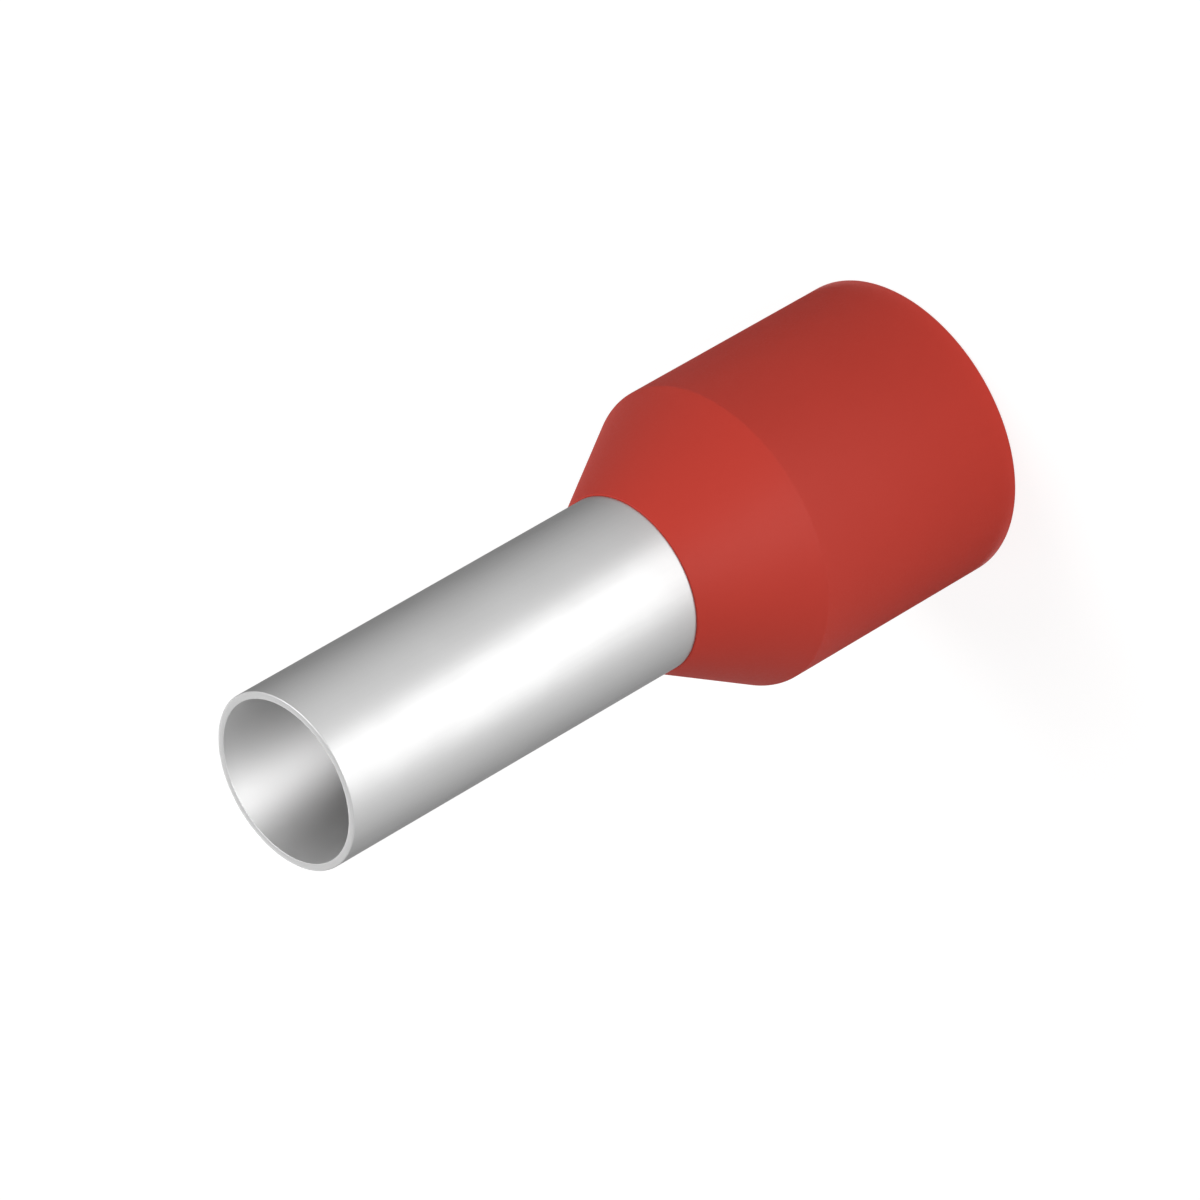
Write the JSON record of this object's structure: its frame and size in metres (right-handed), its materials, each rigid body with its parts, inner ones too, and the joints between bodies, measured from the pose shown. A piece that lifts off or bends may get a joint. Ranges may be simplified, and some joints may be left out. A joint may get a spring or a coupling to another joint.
{
  "type": "wire ferrule",
  "caption": "Insulated wire ferrule: a thin tinned copper sleeve with a flared rear end, held in a tapered red plastic collar that guides a stranded wire into it.",
  "frame": {"origin": "centre of the collar's wire entry rim, on which the ferrule stands", "axes": "+Z along the ferrule's axis, from the wire entry to the sleeve's mouth; round, so X and Y are free"},
  "size_m": [0.0084, 0.0084, 0.022],
  "materials": {
    "tinned_copper": "satin",
    "red_polypropylene": "satin"
  },
  "bodies": {
    "root": {"contact_sleeve": "tinned_copper", "insulating_collar": "red_polypropylene"}
  },
  "joints": []
}
